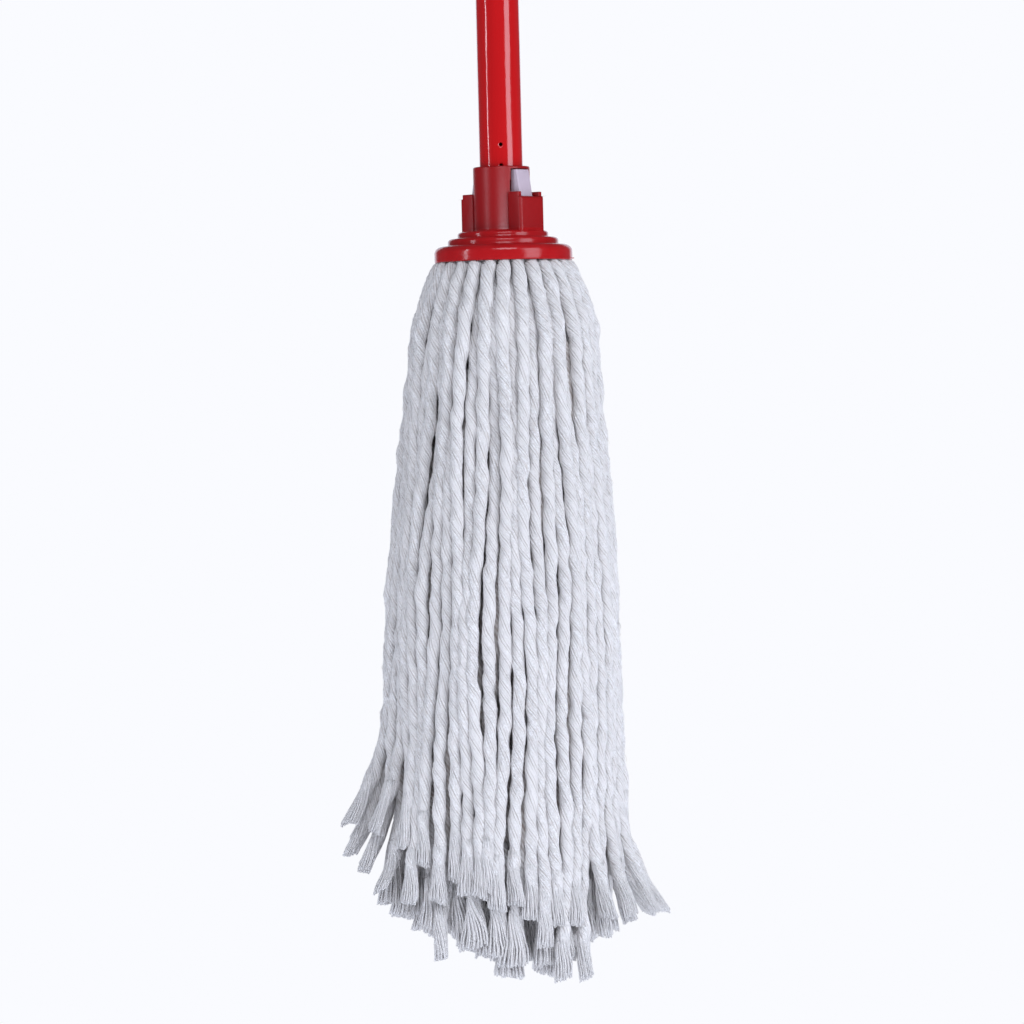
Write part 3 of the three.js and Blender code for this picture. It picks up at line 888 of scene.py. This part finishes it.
def makeCap():
    top, skirt = cap[1].z / mm, cap[0].z / mm
    radius = cap[1].x / mm
    shoulder = top - capLook["tabHeight"]
    inner = tubeRadius / mm + 0.3
    tubeTop = tube[1].z / mm
    bullet = [(inner, skirt), (radius - 0.8, skirt), (radius, skirt + 0.8), (radius, skirt + 2.2),
              (radius - 0.35, skirt + 2.6), (radius - 0.35, skirt + 3.4), (radius, skirt + 3.8),
              (radius, shoulder + capLook["tipRadius"])]
    bullet += quarterRound(radius, top, capLook["tipRadius"], 14)
    piece = turnedPiece("moulded_cap", bullet + [(0, top), (0, tubeTop + 0.3), (inner, tubeTop + 0.3)],
                        steps=96)
    wide = radius * 2
    for side in (-1, 1):
        near, far = sorted((side * capLook["tabHalf"], side * wide))
        joinOrCut(piece, boxPiece("flat", (-wide, wide), (near, far), (shoulder, top + wide)), "DIFFERENCE")
    joinOrCut(piece, rodPiece("eye", capLook["eyeRadius"], -wide, wide, steps=64, axis="Y",
                              place=(0, -capLook["eyeRadius"])), "DIFFERENCE")
    softenEdges(piece, 0.8, segments=3, limit=35)
    return finished(piece, "handle", "socket_plastic", redPlastic, "hanging_cap")


makeHandle()
makeCap()
print("handle made")


socketLook = {
    "steps": [      # radius, top, rounding, cup radius, cup top of each step of the flange
        (35.1, 8.2, 3.6, 33.4, 6.2),
        (28.15, 12, 1.8, 26, 10),
        (23.05, 15.3, 1.4, 21, 13.8),
    ],
    "collar": 14.4, "bore": 11.3, "top": 48.3, "floor": 17.3, "screwHole": 2.3,
    "pocketReach": 21.8, "pocketWidth": 17, "sideTop": 34.9, "wallTop": 32.5, "wallStep": 1.6,
    "hollowWidth": 12.4, "windowTop": 46.8,
    "corner": 1.5,          # rounding of the pockets' upright corners
    "edge": 0.34,           # rounding of all other edges
    "fillet": 0.7,          # where a step stands on the one below
    "flashAt": 43,          # degrees; a sliver of flash where the mould closed
}
wedgeLook = {"width": 9, "top": 46.4, "height": 23, "topReach": 15.3, "slope": 9.6, "edge": 0.5}
slope = math.tan(math.radians(wedgeLook["slope"]))


def wedgeReach(height):
    return wedgeLook["topReach"] + (wedgeLook["top"] - height) * slope


def roundUprightEdges(piece, reach, offset):
    # bevels the upright edges at the outer corners of a pocket
    makeActive(piece)
    bpy.ops.object.mode_set(mode="EDIT")
    bpy.ops.mesh.select_all(action="DESELECT")
    bpy.ops.object.mode_set(mode="OBJECT")
    for edge in piece.data.edges:
        a, b = (piece.data.vertices[v].co for v in edge.vertices)
        edge.select = abs(a.x - b.x) + abs(a.y - b.y) < 1e-6 and a.x > reach * mm - 1e-6
    bpy.ops.object.mode_set(mode="EDIT")
    bpy.ops.mesh.select_mode(type="EDGE")
    bpy.ops.mesh.bevel(offset=offset * mm, segments=5, affect="EDGES")
    bpy.ops.object.mode_set(mode="OBJECT")


def makeSocket():
    look = socketLook
    fillet = look["fillet"]
    (wide, wideTop, wideRound, cup, cupTop), (mid, midTop, midRound, midCup, midCupTop), \
        (small, smallTop, smallRound, smallCup, smallCupTop) = look["steps"]
    profile = [(cup, 0.5), (cup + 0.5, 0), (wide - 0.6, 0), (wide - 0.15, 0.2), (wide, 0.7)]
    profile += quarterRound(wide, wideTop, wideRound, 9)
    profile += [(mid + fillet, wideTop), (mid + 0.2, wideTop + 0.2), (mid, wideTop + fillet)]
    profile += quarterRound(mid, midTop, midRound)
    profile += [(small + fillet, midTop), (small + 0.2, midTop + 0.2), (small, midTop + fillet)]
    profile += quarterRound(small, smallTop, smallRound)
    profile += [(look["collar"] + 1, smallTop), (look["collar"] + 0.3, smallTop + 0.3),
                (look["collar"], smallTop + 1)]
    profile += quarterRound(look["collar"], look["top"], 0.8, 4)
    profile += [(look["bore"] + 0.5, look["top"]), (look["bore"], look["top"] - 0.5),
                (look["bore"], look["floor"]), (look["screwHole"], look["floor"]),
                (look["screwHole"], smallCupTop), (smallCup, smallCupTop), (smallCup, midCupTop),
                (midCup, midCupTop), (midCup, cupTop), (cup, cupTop)]
    socket = turnedPiece("moulded_socket", profile, steps=144)
    inside = (look["bore"] + look["collar"]) / 2
    stepIn = look["pocketReach"] - look["wallStep"]
    foot = smallTop - 1
    hollow = [(look["bore"] - 1, look["floor"]), (wedgeReach(look["floor"]) + 0.3, look["floor"]),
              (wedgeReach(look["wallTop"]) + 0.3, look["wallTop"]),
              (look["pocketReach"] + 1, look["wallTop"]), (look["pocketReach"] + 1, look["windowTop"]),
              (look["bore"] - 1, look["windowTop"])]
    for turn in (0, 180):
        lowBox = boxPiece("pocket", (inside, look["pocketReach"]),
                          (-look["pocketWidth"] / 2, look["pocketWidth"] / 2), (foot, look["wallTop"]))
        roundUprightEdges(lowBox, look["pocketReach"], look["corner"])
        highBox = boxPiece("pocketSides", (inside, stepIn),
                           (-look["pocketWidth"] / 2, look["pocketWidth"] / 2), (foot, look["sideTop"]))
        roundUprightEdges(highBox, stepIn, look["corner"] * 0.4)
        joinOrCut(lowBox, highBox, "UNION")
        joinOrCut(socket, turnedBy(lowBox, turn), "UNION")
        joinOrCut(socket, turnedBy(slabPiece("hollow", hollow, look["hollowWidth"]), turn), "DIFFERENCE")
    softenEdges(socket, look["edge"], segments=3, limit=34)
    makeActive(socket)
    flash = boxPiece("flash", (look["steps"][0][0] - 0.5, look["steps"][0][0] + 0.9), (-0.9, 0.7), (0.9, 1.3))
    joinOrCut(socket, turnedBy(flash, look["flashAt"]), "UNION")
    placeHead(socket)
    return finished(socket, "mop_head", "socket_plastic", redPlastic, "mop_socket")


def makeWedge(name, turn, body, node):
    look = wedgeLook
    bottom = look["top"] - look["height"]
    inside = tubeRadius / mm - 1
    wedge = slabPiece(name, [(inside, bottom), (wedgeReach(bottom), bottom),
                             (look["topReach"], look["top"]), (inside, look["top"])], look["width"])
    joinOrCut(wedge, rodPiece("tube", tubeRadius / mm + 0.3, bottom - 1, look["top"] + 1, steps=96),
              "DIFFERENCE")
    for k in range(4):
        # grip grooves across the face that bites on the tube
        groove = rodPiece("groove", 11.75, 0, 0.5, steps=96)
        groove.location.z = (bottom + 3.5 + 4.6 * k) * mm
        applyPlace(groove)
        joinOrCut(wedge, groove, "DIFFERENCE")
    softenEdges(wedge, look["edge"], segments=3, limit=50)
    placeHead(turnedBy(wedge, turn))
    return finished(wedge, body, "wedge_plastic", milkyPlastic, node)


makeSocket()
makeWedge("milky_wedge_right", 0, "wedge_right", "locking_wedge_right")
makeWedge("milky_wedge_left", 180, "wedge_left", "locking_wedge_left")
print("socket and wedges made")


plateLook = {"radius": 8.5, "top": 1.2, "thickness": 3, "hole": 2.3, "dish": 0.7}
screwLook = {"radius": 2, "tip": 21.5, "point": 2.5, "headRadius": 4, "headHeight": 2.6,
             "recessWidth": 1, "recessLength": 4.6, "recessDepth": 1.3, "gap": 0.3, "threads": 9}


def makePlate():
    look = plateLook
    low, high = look["top"] - look["thickness"], look["top"]
    plate = turnedPiece("milky_plate", [
        (look["hole"], low), (5.6, low), (6.0, low + look["dish"]), (7.0, low + look["dish"]), (7.3, low),
        (look["radius"] - 0.6, low), (look["radius"], low + 0.6), (look["radius"], high - 0.5),
        (look["radius"] - 0.5, high), (look["hole"], high)], steps=72)
    softenEdges(plate, 0.15, segments=2, limit=40)
    placeHead(plate)
    return finished(plate, "mop_head", "wedge_plastic", milkyPlastic, "retainer_plate")


def makeScrew():
    look = screwLook
    top = plateLook["top"] - plateLook["thickness"] - look["gap"]
    low = top - look["headHeight"]
    head = look["headRadius"]
    core = look["radius"] * 0.74
    threadLow, threadHigh = top + 1.5, look["tip"] - look["point"]
    profile = [(0, low), (head * 0.45, low), (head * 0.8, low + 0.35), (head * 0.97, low + 1.1), (head, top - 0.3),
               (head - 0.2, top), (look["radius"], top), (look["radius"], threadLow)]
    pitch = (threadHigh - threadLow) / look["threads"]
    for k in range(look["threads"]):
        z = threadLow + pitch * k
        profile += [(core, z + pitch * 0.25), (look["radius"], z + pitch * 0.6), (core, z + pitch * 0.95)]
    profile += [(core, threadHigh), (0, look["tip"])]
    screw = turnedPiece("zinc_screw", profile, steps=48, closed=False)
    half, narrow = look["recessLength"] / 2, look["recessWidth"] / 2
    for x, y in ((half, narrow), (narrow, half)):
        joinOrCut(screw, boxPiece("recess", (-x, x), (-y, y), (low - 1, low + look["recessDepth"])), "DIFFERENCE")
    makeActive(screw)
    bpy.ops.object.shade_smooth_by_angle(angle=math.radians(35))
    placeHead(screw)
    return finished(screw, "mop_head", "screw_steel", zinc, "retainer_screw")


makePlate()
makeScrew()
print("plate and screw made")


stageLook = {"paper": "#FAFBFF", "floorBelow": 0.075, "room": 14.0, "wall": 16.0, "bend": 3.0}
lights = [
    # name, degrees round from the camera to its right, height above the flange, distance, width, height, power, tint
    ("key", 50, 0.30, 2.3, 1.15, 2.0, 35, "#EBF2FF"),
    ("front", 4, 1.50, 2.6, 1.7, 0.9, 45, "#EBF2FF"),
    ("strip", -66, 0.10, 2.2, 0.12, 1.9, 13, "#EBF2FF"),
    ("backdrop", 180, -0.1, 2.2, 2.6, 2.4, 22, "#EBF2FF"),
]
studioLook = {"air": "#E6EEFF", "strength": 0.14, "bounce": 1.65}


def makeStage():
    # a round paper sweep on every side: a floor that bends up into a wall. Only the camera sees it, so
    # that its glow doesn't wash out the dark studio that the gloss of the red parts reflects
    floor = cadBox[0].z - stageLook["floorBelow"]
    room, bend = stageLook["room"], stageLook["bend"]
    bpy.ops.mesh.primitive_circle_add(vertices=96, radius=room, fill_type="NGON", location=(0, 0, floor))
    sweep = bpy.context.object
    sweep.name = "paper_sweep"
    bpy.ops.object.mode_set(mode="EDIT")
    for k in range(1, 9):
        a, b = ((k - j) / 8 * math.pi / 2 for j in (1, 0))
        bpy.ops.mesh.extrude_region_move(TRANSFORM_OT_translate={
            "value": (0, 0, bend * (math.cos(a) - math.cos(b)))})
        grown = (room + bend * math.sin(b)) / (room + bend * math.sin(a))
        bpy.ops.transform.resize(value=(grown, grown, 1), center_override=(0, 0, 0))
    bpy.ops.mesh.extrude_region_move(TRANSFORM_OT_translate={"value": (0, 0, stageLook["wall"])})
    bpy.ops.mesh.delete(type="ONLY_FACE")
    bpy.ops.object.mode_set(mode="OBJECT")
    applyPlace(sweep)
    bpy.ops.mesh.primitive_circle_add(vertices=96, radius=room, fill_type="NGON", location=(0, 0, floor))
    ground = bpy.context.object
    ground.name = "paper_floor"
    applyPlace(ground)
    material, tree, shader = newMaterial("white paper", {
        "Base Color": (0, 0, 0, 1), "Roughness": 1.0, "Specular IOR Level": 0.0,
        "Emission Color": colour(stageLook["paper"]), "Emission Strength": 1.0})
    # what the paper floor sends back up to the yarn
    bpy.ops.mesh.primitive_circle_add(vertices=48, radius=1.6, fill_type="NGON", location=(0, 0, floor + 0.01))
    bounce = bpy.context.object
    bounce.name = "floor_bounce"
    applyPlace(bounce)
    glow = newMaterial("lit paper", {
        "Base Color": (0, 0, 0, 1), "Roughness": 1.0, "Specular IOR Level": 0.0,
        "Emission Color": colour(studioLook["air"]), "Emission Strength": studioLook["bounce"]})[0]
    for piece, paper in ((sweep, material), (ground, material), (bounce, glow)):
        dress(piece, paper)
        piece.visible_glossy = piece.visible_shadow = False
        piece.visible_transmission = piece.visible_volume_scatter = False
        piece.visible_diffuse = piece == bounce
        piece.visible_camera = piece != bounce


def addLights():
    for name, turn, up, distance, width, height, power, tint in lights:
        light = bpy.data.lights.new(name, "AREA")
        light.shape = "RECTANGLE"
        light.size, light.size_y, light.energy = width, height, power
        light.color = colour(tint)[:3]
        a = math.radians(turn)
        place = (viewBack * math.cos(a) + viewRight * math.sin(a)) * distance + Vector((0, 0, rim + up))
        lamp = bpy.data.objects.new(name, light)
        bpy.context.scene.collection.objects.link(lamp)
        aim = Vector((0, 0, rim - 0.1))
        lamp.rotation_mode = "QUATERNION"
        lamp.rotation_quaternion = (aim - place).to_track_quat("-Z", "Y")
        lamp.location = place
        lamp.visible_camera = False
    world = bpy.data.worlds.new("studio")
    world.use_nodes = True
    air = world.node_tree.nodes["Background"]
    air.inputs["Color"].default_value = colour(studioLook["air"])
    air.inputs["Strength"].default_value = studioLook["strength"]
    bpy.context.scene.world = world
    bpy.context.scene.view_settings.view_transform = "Standard"


makeStage()
addLights()
print("stage lit")
